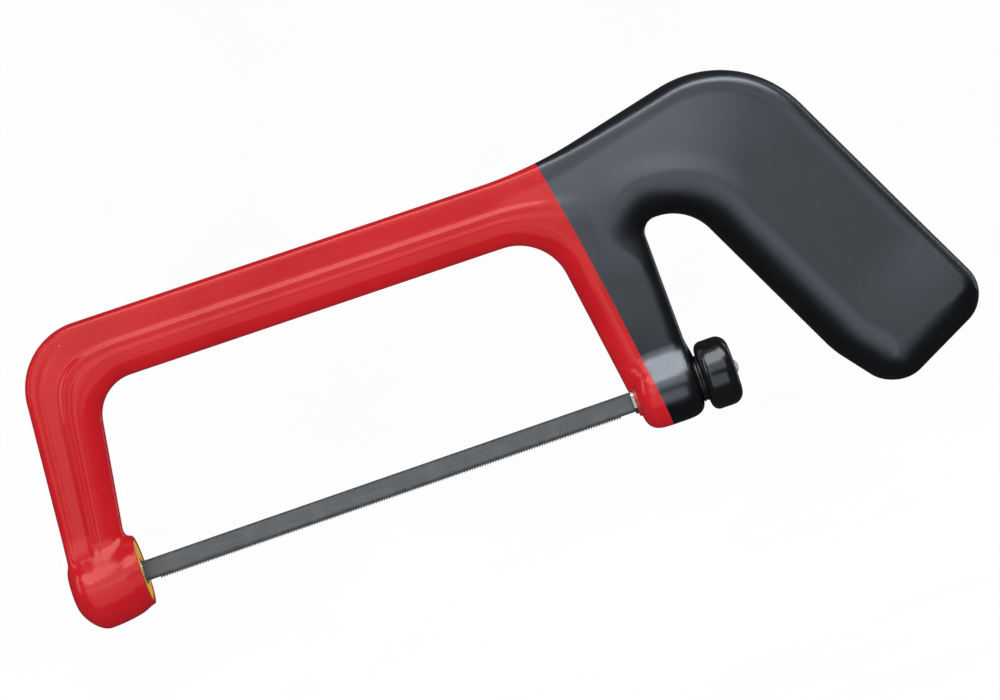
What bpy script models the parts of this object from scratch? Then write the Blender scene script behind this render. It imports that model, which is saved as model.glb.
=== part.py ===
"""Insulated junior hacksaw with a pistol grip, at rest with its blade in tension.

The blade lies along X, from the front boss at -X to the tension bolt at +X, with its teeth down.
Y is the thickness of the saw and Z is up. The origin is the middle of the blade's left face.
Every dimension is in millimetres; MM turns it into metres.
"""

import math
from collections import namedtuple

import bmesh
import bpy
from mathutils import Matrix, Vector

MM = 0.001
GAP = 0.3  # clearance between neighbouring pieces
MERGE = 2e-6  # metres

# Layers over the steel bow
COAT = 1.2  # thickness of the red coat and of the black grip coat
UNDERCOAT_INSET = COAT + GAP  # the yellow undercoat starts this far inside the saw's surface

# Steel bow: a flat bar with a cylindrical block at each end of the blade
BAR_WIDTH = 11.6
BAR_THICKNESS = 4.4
FRONT_BLOCK = (-92.0, -77.6, 6.0)  # first and last x, radius
REAR_BLOCK = (78.0, 90.8, 7.0)

# Section of a limb: half thickness at the crest, drop to the outer shoulder, radius of the outer edge,
# reach of the inner rounding, and the crest's share of the width
Section = namedtuple("Section", "half drop edge reach crest")
ARM_SECTION = Section(5.8, 0.9, 1.8, 8.0, 0.47)
BAR_SECTION = Section(6.0, 1.0, 1.8, 8.0, 0.47)
HANDLE_SECTION = Section(9.6, 1.2, 2.6, 11.0, 0.46)
GRIP_SECTION = Section(12.8, 1.3, 3.2, 12.8, 0.45)
REAR_ARM_SECTION = Section(5.8, 0.5, 4.2, 7.5, 0.55)
EDGE_ANGLES = (0, 45, 90)
INNER_ANGLES = (0, 30, 58)

# Outlines of the bow and the handle, as corners (x, z, radius)
BOW_OUTER = ((-95.6, 3, 0), (-89.5, 75.35, 21), (68, 73.75, 125), (137.7, 89.7, 33), (176.0, 11.2, 0))
BOW_INNER = (
    (-78.2, 5, 0), (-70.5, 55.4, 12), (70, 54.3, 30), (90, 48.7, 30), (108.1, 48.4, 15), (134.2, -4.3, 0),
)
REAR_ARM_OUTER = ((97.0, 62, 0), (99.8, 49.3, 1.2), (93.9, 48.4, 4.2), (94.9, 0, 0))
REAR_ARM_INNER = ((60, 62, 0), (54.5, 56.0, 1.5), (66.9, 54.2, 11.5), (76.2, -4, 0))

# Matching places on the outer and inner outlines, each followed by the number of steps to the next
BOW_STATIONS = (
    ((-95.6, 3), (-78.2, 5), 3),
    ((-91.0, 56), (-72.4, 43.5), 7),
    ((-71, 75.2), (-59.5, 55.3), 2),
    ((54, 73.8), (52, 54.6), 3),
    ((84, 77.4), (80, 51.6), 3),
    ((112, 83.4), (99.5, 48.5), 8),
    ((148.9, 66.8), (112.3, 40.0), 2),
    ((170.6, 22.3), (134.2, -4.3), 0),
)
REAR_ARM_STATIONS = (
    ((97.0, 62), (60, 62), 1),
    ((99.2, 51.5), (56.4, 58.0), 1),
    ((98.0, 49.0), (57.5, 55.5), 5),
    ((94.0, 43.6), (68.6, 44), 2),
    ((94.9, 0), (76.2, -4), 0),
)

# Butt of the grip: its direction, and how each station sits back from the flat end
GRIP_DOWN = Vector((0.447, 0, -0.894)).normalized()
GRIP_BACK = Vector((0.894, 0, 0.447)).normalized()
BUTT_END = 86.0  # distance of the flat end along GRIP_DOWN
GRIP_BACK_LINE = 162.4  # distances of the grip's back and finger sides along GRIP_BACK
GRIP_FRONT_LINE = 118.4
BUTT_STATIONS = (  # set back from the end, back side drawn in, finger side drawn in, thickness drawn in
    (13.0, 0.0, 1.3, 0.0),
    (8.4, 0.2, 2.8, 0.0),
    (5.0, 1.5, 4.4, 0.1),
    (2.4, 3.6, 6.4, 0.9),
    (0.8, 6.0, 8.8, 2.0),
    (0.0, 8.2, 11.0, 3.2),
)

# Bosses at the blade's two ends, as rings (x, centre z, radius)
FRONT_FACE_X = -74.9
FRONT_BOSS = (
    (-97.2, 0.3, 2.2), (-96.7, 0.0, 5.2), (-95.5, -0.6, 8.2), (-93.5, -1.2, 10.0), (-91.0, -1.4, 10.8),
    (-87.0, -1.5, 10.9), (-83.0, -0.9, 10.6), (-79.0, -0.3, 10.4), (FRONT_FACE_X, 0.35, 9.95),
)
REAR_FACE_X = 94.7
REAR_BOSS = (
    (75.9, 0, 5.6), (76.5, 0, 7.2), (77.6, 0, 8.3), (79.2, 0, 9.1), (81.5, 0, 9.75), (85.5, 0, 10.15),
    (89.5, 0, 10.0), (92.0, 0, 9.4), (93.6, 0, 8.6), (REAR_FACE_X, 0, 7.2),
)
BOSS_SIDES = 26

# Edge of the black grip coat, x = a + b z + c z^2
DIP_LINE = (82.66, -0.1243, -0.000488)

# Blade with a bent tab at each end
BLADE_THICKNESS = 0.65
BLADE_TOP = 3.05
BLADE_GULLET = -2.7
BLADE_TIP = -3.2
TAB_FRONT_X = -76.5  # inner faces of the two tabs
TAB_REAR_X = 76.3
TAB_LENGTH = 2.6  # from the blade's left face to the tab's tip
GROUND_SIDE = (-74.4, 74.4)  # the blade's left side is ground a little lower beyond this stretch
GROUND_STEP = 0.05
SLOT_PLAY = 0.25  # room on each side of the blade in its slots
TOOTH_PITCH = 25.4 / 32
TOOTHED_SPAN = (-71.0, 71.0)

# Front stud
STUD_RADIUS = 3.75
STUD_BACK_X = -90.0
STUD_PIN_X = -86.5
STUD_PIN_RADIUS = 1.25
STUD_PIN_HALF = 5.0
HOOK_WALL = 1.3  # steel left between the stud's face and the groove for the tab

# Tension bolt, its guide bush and the washer
BOLT_FACE_X = 74.7
BOLT_SHOULDER_X = 87.0
BOLT_END_X = 103.2
BOLT_FLAT = 3.2
THREAD_RADIUS = 2.5
TENSION_TRAVEL = 3.2
BUSH_LIP_X = 75.5
BUSH_STEP_X = 78.6
BUSH_BACK_X = 88.4
BUSH_LIP_RADIUS = 4.75
BUSH_RADIUS = 5.5
WASHER_X = (94.95, 95.95)
WASHER_RADIUS = 6.8

# Knob with its nut and end plug
KNOB_X = (96.25, 106.0)
KNOB_MIDDLE_X = 101.0
KNOB_RADIUS = 10.1
NUT_X = (96.6, 101.6)
NUT_RADIUS = 4.4
PLUG_X = (104.0, 107.2)
PLUG_RADIUS = 1.9

# Handle filler halves and the rivets that clamp them to the bow
FILLER_FRONT_X = 97.0
RIVET_PLACES = {"top": (112.0, 66.0), "middle": (139.0, 36.2), "bottom": (151.4, 11.4)}
RIVET_RADIUS = 2.0
RIVET_HEAD_RADIUS = 3.8
RIVET_HEAD = 1.6
TANG_PATH = ((-87.2, 0, 0), (-80.8, 65.4, 14), (125.0, 64.2, 14), (154.0, 6.2, 0))
REAR_BAR_PATH = ((78.0, 62, 0), (85.4, 0, 0))


def clear_scene():
    for thing in list(bpy.data.objects):
        bpy.data.objects.remove(thing)


def material(name, colour, roughness, metallic=0.0):
    made = bpy.data.materials.new(name)
    made.use_nodes = True
    shader = made.node_tree.nodes["Principled BSDF"]
    shader.inputs["Base Color"].default_value = (*colour, 1.0)
    shader.inputs["Roughness"].default_value = roughness
    shader.inputs["Metallic"].default_value = metallic
    return made


def link(name, mesh_data):
    made = bpy.data.objects.new(name, mesh_data)
    bpy.context.scene.collection.objects.link(made)
    return made


def skin(name, rings):
    """Solid through closed rings of points, one after another, with both ends capped."""
    shape = bmesh.new()
    loops = [[shape.verts.new(Vector(point) * MM) for point in ring] for ring in rings]
    count = len(loops[0])
    for near, far in zip(loops, loops[1:]):
        for i in range(count):
            shape.faces.new((near[i], near[(i + 1) % count], far[(i + 1) % count], far[i]))
    shape.faces.new(loops[0])
    shape.faces.new(loops[-1])
    bmesh.ops.recalc_face_normals(shape, faces=shape.faces)
    bmesh.ops.triangulate(shape, faces=shape.faces)
    made = bpy.data.meshes.new(name)
    shape.to_mesh(made)
    shape.free()
    return link(name, made)


def turned(name, profile, sides=BOSS_SIDES, centre=(0.0, 0.0)):
    """Solid of revolution along X, from (x, radius) pairs."""
    y, z = centre
    turns = [2 * math.pi * (i + 0.5) / sides for i in range(sides)]
    rings = [
        [(x, y + radius * math.cos(a), z + radius * math.sin(a)) for a in turns]
        for x, radius in profile
    ]
    return skin(name, rings)


def rod(name, first_x, last_x, radius, sides=BOSS_SIDES):
    return turned(name, ((first_x, radius), (last_x, radius)), sides)


def turned_across(name, x, z, profile, sides=16):
    """Solid of revolution about an axis along Y through (x, z), from (y, radius) pairs."""
    turns = [2 * math.pi * i / sides for i in range(sides)]
    rings = [
        [(x + radius * math.cos(a), y, z + radius * math.sin(a)) for a in turns]
        for y, radius in profile
    ]
    return skin(name, rings)


def cross_rod(name, x, z, half_length, radius):
    """Cylinder along Y, centred on the middle plane of the saw."""
    return turned_across(name, x, z, ((-half_length, radius), (half_length, radius)))


def block(name, low, high):
    """Box between two corners."""
    (x0, y0, z0), (x1, y1, z1) = low, high
    rings = [[(x, y0, z0), (x, y1, z0), (x, y1, z1), (x, y0, z1)] for x in (x0, x1)]
    return skin(name, rings)


def slab(name, outline, first_y, last_y):
    """Flat plate with this outline of (x, z) points."""
    return skin(name, [[(x, y, z) for x, z in outline] for y in (first_y, last_y)])


def clean_up(mesh_data):
    """Merge the points that a Boolean leaves almost on top of each other, and triangulate."""
    shape = bmesh.new()
    shape.from_mesh(mesh_data)
    bmesh.ops.remove_doubles(shape, verts=shape.verts, dist=MERGE)
    bmesh.ops.dissolve_degenerate(shape, edges=shape.edges, dist=MERGE / 4)
    bmesh.ops.triangulate(shape, faces=shape.faces)
    shape.to_mesh(mesh_data)
    shape.free()


def combine(target, tool, operation):
    """Apply one exact Boolean to the target and remove the tool."""
    step = target.modifiers.new(operation, "BOOLEAN")
    step.solver = "EXACT"
    step.operation = operation
    step.object = tool
    graph = bpy.context.evaluated_depsgraph_get()
    result = bpy.data.meshes.new_from_object(target.evaluated_get(graph))
    target.modifiers.clear()
    clean_up(result)
    target.data = result
    bpy.data.objects.remove(tool)
    return target


def join(target, tool):
    return combine(target, tool, "UNION")


def cut(target, tool):
    return combine(target, tool, "DIFFERENCE")


def keep(target, tool):
    return combine(target, tool, "INTERSECT")


def rounded_path(corners, steps=16):
    """Points (x, 0, z) along a polyline whose corners (x, z, radius) are rounded."""
    spots = [Vector((x, 0, z)) for x, z, _ in corners]
    points = [spots[0]]
    for before, corner, after, (_, _, radius) in zip(spots, spots[1:], spots[2:], corners[1:]):
        back = (before - corner).normalized()
        ahead = (after - corner).normalized()
        half_angle = back.angle(ahead) / 2
        start = corner + back * radius / math.tan(half_angle)
        end = corner + ahead * radius / math.tan(half_angle)
        centre = corner + (back + ahead).normalized() * radius / math.sin(half_angle)
        turn = math.pi - 2 * half_angle
        for i in range(steps + 1):
            near_share = math.sin(turn * (1 - i / steps)) / math.sin(turn)
            far_share = math.sin(turn * i / steps) / math.sin(turn)
            points.append(centre + (start - centre) * near_share + (end - centre) * far_share)
    return points + [spots[-1]]


def lengths_along(path):
    total = [0.0]
    for near, far in zip(path, path[1:]):
        total.append(total[-1] + (far - near).length)
    return total


def place_at(path, lengths, wanted):
    for near, far, start, end in zip(path, path[1:], lengths, lengths[1:]):
        if wanted <= end and end > start:
            return near.lerp(far, (wanted - start) / (end - start))
    return path[-1].copy()


def drawn_in(path, inset, side):
    """The path moved sideways, to its right for side 1 and to its left for side -1."""
    moved = []
    for i, spot in enumerate(path):
        ahead = path[min(i + 1, len(path) - 1)] - path[max(i - 1, 0)]
        moved.append(spot + Vector((ahead.z, 0, -ahead.x)).normalized() * inset * side)
    return moved


def nearest_length(path, lengths, spot):
    """How far along the path its nearest place to (x, z) lies."""
    target = Vector((spot[0], 0, spot[1]))
    samples = [lengths[-1] * i / 2000 for i in range(2001)]
    return min(samples, key=lambda wanted: (place_at(path, lengths, wanted) - target).length)


def paired_stations(outer_corners, inner_corners, stations, inset):
    """Outline points that face each other across a limb, with their place counted in stretches."""
    outer = rounded_path(outer_corners)
    inner = rounded_path(inner_corners)
    outer_lengths = lengths_along(outer)
    inner_lengths = lengths_along(inner)
    keys = [
        (nearest_length(outer, outer_lengths, far), nearest_length(inner, inner_lengths, near), steps)
        for far, near, steps in stations
    ]
    places = []
    for stretch, (first, last) in enumerate(zip(keys, keys[1:])):
        for i in range(first[2]):
            share = i / first[2]
            outer_at = first[0] + (last[0] - first[0]) * share
            inner_at = first[1] + (last[1] - first[1]) * share
            places.append((outer_at, inner_at, stretch + share))
    places.append((keys[-1][0], keys[-1][1], len(keys) - 1.0))
    outer = drawn_in(outer, inset, 1)
    inner = drawn_in(inner, inset, -1)
    return [
        (place_at(outer, outer_lengths, outer_at), place_at(inner, inner_lengths, inner_at), place)
        for outer_at, inner_at, place in places
    ]


def blend_sections(first, last, share):
    smooth = share * share * (3 - 2 * share)
    return Section(*(a + (b - a) * smooth for a, b in zip(first, last)))


def limb_ring(outer, inner, section, inset, thinner=0.0):
    """Ring of points across a limb, between two outline points that are already drawn in by the inset."""
    across = (inner - outer).normalized()
    width = (inner - outer).length
    half = section.half - inset - thinner
    edge = max(section.edge - inset, 0.4)
    reach = section.reach - inset
    shoulder = half - section.drop
    profile = []
    for degrees in EDGE_ANGLES:
        turn = math.radians(degrees)
        profile.append((edge * (1 - math.cos(turn)), shoulder - edge + edge * math.sin(turn)))
    profile.append((section.crest * (width + 2 * inset) - inset, half))
    for degrees in INNER_ANGLES:
        turn = math.radians(degrees)
        profile.append((width - reach + reach * math.sin(turn), (half - 0.35) * math.cos(turn)))
    near_side = [outer + across * s + Vector((0, -y, 0)) for s, y in profile]
    far_side = [outer + across * s + Vector((0, y, 0)) for s, y in reversed(profile)]
    return near_side + [inner.copy()] + far_side


def bow_section(place):
    """Section of the bow at a place counted in stretches from the front boss."""
    steps = ((0.0, ARM_SECTION), (1.0, ARM_SECTION), (2.0, BAR_SECTION), (3.0, BAR_SECTION),
             (5.0, HANDLE_SECTION), (6.0, GRIP_SECTION), (9.0, GRIP_SECTION))
    for (start, first), (end, last) in zip(steps, steps[1:]):
        if place <= end:
            return blend_sections(first, last, (place - start) / (end - start))
    return GRIP_SECTION


def butt_rings(inset):
    rings = []
    for back, from_back, from_front, thinner in BUTT_STATIONS:
        along = GRIP_DOWN * (BUTT_END - inset - back)
        outer = along + GRIP_BACK * (GRIP_BACK_LINE - inset - from_back)
        inner = along + GRIP_BACK * (GRIP_FRONT_LINE + inset + from_front)
        rings.append(limb_ring(outer, inner, GRIP_SECTION, inset, thinner))
    return rings


def bow_limb(inset):
    """Front arm, top bar, handle and grip as one limb."""
    pairs = paired_stations(BOW_OUTER, BOW_INNER, BOW_STATIONS, inset)
    rings = [limb_ring(outer, inner, bow_section(place), inset) for outer, inner, place in pairs]
    return skin("bow_limb", rings + butt_rings(inset))


def rear_arm(inset):
    pairs = paired_stations(REAR_ARM_OUTER, REAR_ARM_INNER, REAR_ARM_STATIONS, inset)
    return skin("rear_arm", [limb_ring(outer, inner, REAR_ARM_SECTION, inset) for outer, inner, _ in pairs])


def boss(name, rings, inset, first_inset, last_inset):
    """Lofted boss; its two ends are drawn in by their own amounts."""
    low = rings[0][0] + first_inset
    high = rings[-1][0] - last_inset
    turns = [2 * math.pi * (i + 0.5) / BOSS_SIDES for i in range(BOSS_SIDES)]
    made = []
    for x, z, radius in rings:
        share = (x - rings[0][0]) / (rings[-1][0] - rings[0][0])
        size = radius - inset
        if size > 0.5:
            ring_x = low + (high - low) * share
            made.append([(ring_x, size * math.cos(a), z + size * math.sin(a)) for a in turns])
    return skin(name, made)


def saw_body(inset, overrun=0.0):
    """Everything that is coated. The front boss passes its cut face by the overrun."""
    body = join(bow_limb(inset), rear_arm(inset))
    join(body, boss("front_boss", FRONT_BOSS, inset, inset, -overrun))
    return join(body, boss("rear_boss", REAR_BOSS, inset, 0.0, inset))


def dip_side(name, rear, clearance):
    """Everything on one side of the edge of the black coat."""
    a, b, c = DIP_LINE
    shift = clearance / 2 if rear else -clearance / 2
    heights = [-40 + 160 * i / 24 for i in range(25)]
    line = [(a + b * z + c * z * z + shift, z) for z in heights]
    far_x = 260 if rear else -160
    return slab(name, line + [(far_x, 120), (far_x, -40)], -40, 40)


def bar_sweep(name, corners, grow):
    """Flat steel bar along a path."""
    path = rounded_path(corners, 8)
    half_width = BAR_WIDTH / 2 + grow
    half_thick = BAR_THICKNESS / 2 + grow
    path[0] -= (path[1] - path[0]).normalized() * grow
    path[-1] += (path[-1] - path[-2]).normalized() * grow
    rings = []
    for i, spot in enumerate(path):
        ahead = path[min(i + 1, len(path) - 1)] - path[max(i - 1, 0)]
        side = Vector((-ahead.z, 0, ahead.x)).normalized() * half_width
        corners_round = ((-1, -1), (1, -1), (1, 1), (-1, 1))
        rings.append([spot + side * s + Vector((0, half_thick * y, 0)) for s, y in corners_round])
    return skin(name, rings)


def steel_bow(grow):
    """The flat bar, its branch down the rear arm, and the two end blocks."""
    bow = join(bar_sweep("steel_bow", TANG_PATH, grow), bar_sweep("rear_bar", REAR_BAR_PATH, grow))
    for name, (first, last, radius) in (("front_block", FRONT_BLOCK), ("rear_block", REAR_BLOCK)):
        join(bow, rod(name, first - grow, last + grow, radius + grow))
    return bow


def rivet_shape(name, x, z, grow):
    """Rivet with a flat head sunk into each handle half, turned about an axis along Y."""
    end = bow_half_at_rivet(name) - UNDERCOAT_INSET - 0.6 + grow
    neck = end - RIVET_HEAD - 2 * grow
    head = RIVET_HEAD_RADIUS + grow
    shaft = RIVET_RADIUS + grow
    profile = ((-end, head), (-neck, head), (-neck, shaft), (neck, shaft), (neck, head), (end, head))
    return turned_across(name, x, z, profile)


def bow_half_at_rivet(name):
    return 9.9 if "top" in name else GRIP_SECTION.half


def stud_groove(face_x, wall, forward, travel):
    """Slot for the blade and, behind a hook wall, a wider groove for its tab, both open at the bottom."""
    top = BLADE_TOP + 0.35
    near = face_x + forward
    deep = face_x - forward * (wall + BLADE_THICKNESS + 0.9 + travel)
    x0, x1 = sorted((near, deep))
    groove = block("slot", (x0, -SLOT_PLAY, -8), (x1, BLADE_THICKNESS + SLOT_PLAY, top))
    x0, x1 = sorted((face_x - forward * wall, deep))
    return join(groove, block("groove", (x0, -SLOT_PLAY, -8), (x1, TAB_LENGTH + 0.4, top)))


def front_stud():
    stud = rod("front_stud", STUD_BACK_X, FRONT_FACE_X, STUD_RADIUS)
    cut(stud, stud_groove(FRONT_FACE_X, HOOK_WALL, 1, TENSION_TRAVEL + 1.4))
    return cut(stud, cross_rod("pin_hole", STUD_PIN_X, 0, 6, STUD_PIN_RADIUS + GAP))


def tension_bolt():
    bolt = rod("tension_bolt", BOLT_FACE_X, BOLT_SHOULDER_X, STUD_RADIUS)
    keep(bolt, block("flats", (60, -BOLT_FLAT, -6), (110, BOLT_FLAT, 6)))
    cut(bolt, stud_groove(BOLT_FACE_X, 1.15, -1, 0.0))
    chamfer = 0.8
    shank = (
        (BOLT_SHOULDER_X - 1, THREAD_RADIUS),
        (BOLT_END_X - chamfer, THREAD_RADIUS),
        (BOLT_END_X, THREAD_RADIUS - chamfer),
    )
    return join(bolt, turned("shank", shank, 24))


def guide_bush():
    profile = (
        (BUSH_LIP_X, BUSH_LIP_RADIUS),
        (BUSH_STEP_X, BUSH_LIP_RADIUS),
        (BUSH_STEP_X, BUSH_RADIUS),
        (BUSH_BACK_X, BUSH_RADIUS),
    )
    bush = turned("guide_bush", profile)
    bore = rod("bore", BUSH_LIP_X - 1, BUSH_BACK_X + 1, STUD_RADIUS + GAP)
    keep(bore, block("key", (60, -BOLT_FLAT - GAP, -6), (110, BOLT_FLAT + GAP, 6)))
    return cut(bush, bore)


def blade_outline():
    """Side view of the blade between its tabs, with forward-raked teeth along the bottom."""
    first, last = TOOTHED_SPAN
    count = int((last - first) / TOOTH_PITCH)
    start_x = TAB_FRONT_X - BLADE_THICKNESS
    end_x = TAB_REAR_X + BLADE_THICKNESS
    points = [(end_x, BLADE_GULLET), (end_x, BLADE_TOP), (start_x, BLADE_TOP), (start_x, BLADE_GULLET)]
    for i in range(count):
        x = first + i * TOOTH_PITCH
        points += [(x, BLADE_GULLET), (x + 0.12 * TOOTH_PITCH, BLADE_TIP)]
    return points + [(first + count * TOOTH_PITCH, BLADE_GULLET)]


def blade():
    made = slab("blade", blade_outline(), 0.0, BLADE_THICKNESS)
    for inner_x, outward in ((TAB_FRONT_X, -1), (TAB_REAR_X, 1)):
        x0, x1 = sorted((inner_x, inner_x + outward * BLADE_THICKNESS))
        join(made, block("tab", (x0, 0.0, BLADE_GULLET), (x1, TAB_LENGTH, BLADE_TOP)))
    for first_x, last_x in ((-90.0, GROUND_SIDE[0]), (GROUND_SIDE[1], 90.0)):
        cut(made, block("ground_end", (first_x, -2.0, -8.0), (last_x, GROUND_STEP, 8.0)))
    return made


def knob_body():
    low, high = KNOB_X
    rim = 2.6
    shoulder = KNOB_RADIUS - rim
    outside = [(low, 6.6), (low + 0.15, 7.4)]
    outside += [(low + rim - rim * math.cos(a), shoulder + rim * math.sin(a)) for a in arc_turns(18, 90, 4)]
    outside += [(high - rim + rim * math.cos(a), shoulder + rim * math.sin(a)) for a in arc_turns(90, 10, 5)]
    outside += [(high, 6.5)]
    knob = turned("knob_body", outside, 32)
    cut(knob, rod("nut_pocket", low - 1, NUT_X[1] + GAP, NUT_RADIUS + GAP))
    cut(knob, rod("bolt_hole", low, PLUG_X[0] - GAP, THREAD_RADIUS + GAP, 24))
    return cut(knob, rod("plug_hole", low, high + 1, PLUG_RADIUS + GAP, 24))


def arc_turns(first, last, count):
    return [math.radians(first + (last - first) * i / (count - 1)) for i in range(count)]


def knob_nut():
    nut = rod("knob_nut", NUT_X[0], NUT_X[1], NUT_RADIUS, 24)
    return cut(nut, rod("thread", NUT_X[0] - 1, NUT_X[1] + 1, THREAD_RADIUS + GAP, 24))


def knob_plug():
    dome_start = PLUG_X[1] - 1.0
    dome = [(dome_start + math.sin(a), PLUG_RADIUS * math.cos(a)) for a in arc_turns(0, 75, 4)]
    return turned("knob_plug", [(PLUG_X[0], PLUG_RADIUS)] + dome, 24)


def thrust_washer():
    washer = rod("thrust_washer", WASHER_X[0], WASHER_X[1], WASHER_RADIUS)
    return cut(washer, rod("hole", WASHER_X[0] - 1, WASHER_X[1] + 1, THREAD_RADIUS + GAP, 24))


def outer_coat_red():
    coat = keep(saw_body(0.0), dip_side("front_side", False, GAP))
    cut(coat, saw_body(COAT, 2.0))
    cut(coat, rod("bolt_opening", 60, 84, BUSH_LIP_RADIUS + 1.3))
    coat.name = "outer_coat_red"
    return coat


def grip_coat_black():
    coat = keep(saw_body(0.0), dip_side("rear_side", True, GAP))
    cut(coat, saw_body(COAT))
    cut(coat, rod("shank_opening", 90, 99, THREAD_RADIUS + GAP))
    coat.name = "grip_coat_black"
    return coat


def undercoat_yellow():
    coat = saw_body(UNDERCOAT_INSET)
    cut(coat, block("handle_side", (FILLER_FRONT_X - GAP, -40, -60), (260, 40, 120)))
    cut(coat, steel_bow(GAP))
    cut(coat, rod("stud_opening", FRONT_BLOCK[1] - 1, FRONT_FACE_X + 1, STUD_RADIUS + GAP))
    cut(coat, rod("bush_opening", 60, REAR_BLOCK[0] + 1, BUSH_LIP_RADIUS + GAP))
    cut(coat, rod("shank_opening", REAR_BLOCK[1] - 1, 99, THREAD_RADIUS + GAP))
    coat.name = "undercoat_yellow"
    return coat


def frame_core():
    core = steel_bow(0.0)
    cut(core, rod("stud_bore", STUD_BACK_X - GAP, FRONT_FACE_X, STUD_RADIUS + GAP))
    cut(core, cross_rod("pin_bore", STUD_PIN_X, 0, 8, STUD_PIN_RADIUS + GAP))
    cut(core, rod("bush_bore", BUSH_STEP_X - 6, BUSH_BACK_X + GAP, BUSH_RADIUS + GAP))
    cut(core, rod("shank_bore", BUSH_BACK_X - 1, 99, THREAD_RADIUS + GAP))
    for x, z in RIVET_PLACES.values():
        cut(core, cross_rod("rivet_bore", x, z, 8, RIVET_RADIUS + GAP))
    core.name = "frame_core"
    return core


def handle_filler(name, side):
    filler = keep(bow_limb(UNDERCOAT_INSET), block("behind", (FILLER_FRONT_X, -40, -60), (260, 40, 120)))
    low, high = sorted((side * GAP / 2, side * 40))
    keep(filler, block("half", (60, low, -60), (260, high, 120)))
    cut(filler, steel_bow(GAP))
    for place, (x, z) in RIVET_PLACES.items():
        cut(filler, rivet_shape("rivet_" + place, x, z, GAP))
    filler.name = name
    return filler


def put_origin(made, x, y, z):
    """Move the object's origin to this place without moving its shape."""
    spot = Vector((x, y, z)) * MM
    made.data.transform(Matrix.Translation(-spot))
    made.location = spot
    return made


def finish(made, look):
    made.data.materials.clear()
    made.data.materials.append(look)
    made.data.shade_smooth()
    made.data.set_sharp_from_angle(angle=math.radians(32))


def build():
    clear_scene()
    steel = (0.62, 0.62, 0.60)
    finish(outer_coat_red(), material("red_coat", (0.56, 0.018, 0.022), 0.28))
    finish(grip_coat_black(), material("black_coat", (0.018, 0.020, 0.023), 0.45))
    finish(undercoat_yellow(), material("yellow_undercoat", (0.62, 0.36, 0.02), 0.5))
    finish(frame_core(), material("bow_steel", (0.35, 0.35, 0.36), 0.4, 1.0))
    finish(handle_filler("handle_filler_left", -1), material("filler_left", (0.06, 0.06, 0.065), 0.6))
    finish(handle_filler("handle_filler_right", 1), material("filler_right", (0.06, 0.06, 0.065), 0.6))
    for place, (x, z) in RIVET_PLACES.items():
        name = "handle_rivet_" + place
        finish(rivet_shape(name, x, z, 0.0), material(name + "_steel", steel, 0.35, 1.0))
    finish(front_stud(), material("stud_steel", steel, 0.3, 1.0))
    pin = cross_rod("front_stud_pin", STUD_PIN_X, 0, STUD_PIN_HALF, STUD_PIN_RADIUS)
    finish(pin, material("pin_steel", steel, 0.35, 1.0))
    finish(guide_bush(), material("bush_plastic", (0.45, 0.02, 0.02), 0.4))
    finish(thrust_washer(), material("washer_plastic", (0.01, 0.01, 0.011), 0.4))
    finish(put_origin(tension_bolt(), BOLT_FACE_X, 0, 0), material("bolt_steel", steel, 0.3, 1.0))
    blade_look = material("blade_steel", (0.10, 0.115, 0.13), 0.45, 0.9)
    finish(put_origin(blade(), TAB_FRONT_X, 0, BLADE_TOP), blade_look)
    finish(put_origin(knob_body(), KNOB_MIDDLE_X, 0, 0), material("knob_black", (0.012, 0.012, 0.014), 0.2))
    finish(put_origin(knob_nut(), KNOB_MIDDLE_X, 0, 0), material("nut_brass", (0.60, 0.42, 0.16), 0.3, 1.0))
    finish(put_origin(knob_plug(), KNOB_MIDDLE_X, 0, 0), material("plug_grey", (0.55, 0.56, 0.57), 0.4))


build()
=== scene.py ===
import math

import bmesh
import bpy
import numpy as np
from mathutils import Matrix, Vector


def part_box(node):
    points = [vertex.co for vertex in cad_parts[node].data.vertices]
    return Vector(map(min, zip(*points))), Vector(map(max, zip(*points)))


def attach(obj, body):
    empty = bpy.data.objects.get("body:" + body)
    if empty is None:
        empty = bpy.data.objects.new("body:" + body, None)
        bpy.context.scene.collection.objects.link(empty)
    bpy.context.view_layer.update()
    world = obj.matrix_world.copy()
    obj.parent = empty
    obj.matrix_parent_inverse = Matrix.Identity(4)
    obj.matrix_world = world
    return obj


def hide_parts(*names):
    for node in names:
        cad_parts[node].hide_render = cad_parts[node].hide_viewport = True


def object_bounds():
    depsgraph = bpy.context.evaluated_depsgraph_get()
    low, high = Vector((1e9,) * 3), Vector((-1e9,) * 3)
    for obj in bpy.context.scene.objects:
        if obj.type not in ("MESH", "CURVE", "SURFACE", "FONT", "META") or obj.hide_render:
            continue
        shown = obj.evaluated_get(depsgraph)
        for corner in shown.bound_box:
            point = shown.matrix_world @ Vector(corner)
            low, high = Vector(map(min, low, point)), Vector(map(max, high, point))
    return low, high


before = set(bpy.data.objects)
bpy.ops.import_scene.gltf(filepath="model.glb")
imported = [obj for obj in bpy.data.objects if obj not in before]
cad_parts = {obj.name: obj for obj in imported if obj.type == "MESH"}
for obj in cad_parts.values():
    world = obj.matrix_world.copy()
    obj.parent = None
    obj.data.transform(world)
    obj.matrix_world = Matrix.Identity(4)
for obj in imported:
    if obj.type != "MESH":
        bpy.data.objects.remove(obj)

CAD_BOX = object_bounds()
MM = 0.001

# Spacings and corners of the grids that the coated bow is meshed from
COAT_GRID = 0.55
UNDERCOAT_GRID = 1.3
GRID_LOW = (-99.0, -14.0, -22.0)
COAT_GRID_HIGH = (182.0, 14.0, 88.0)
UNDERCOAT_GRID_HIGH = (98.0, 14.0, 88.0)  # the yellow layer ends here, inside the black coat

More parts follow.
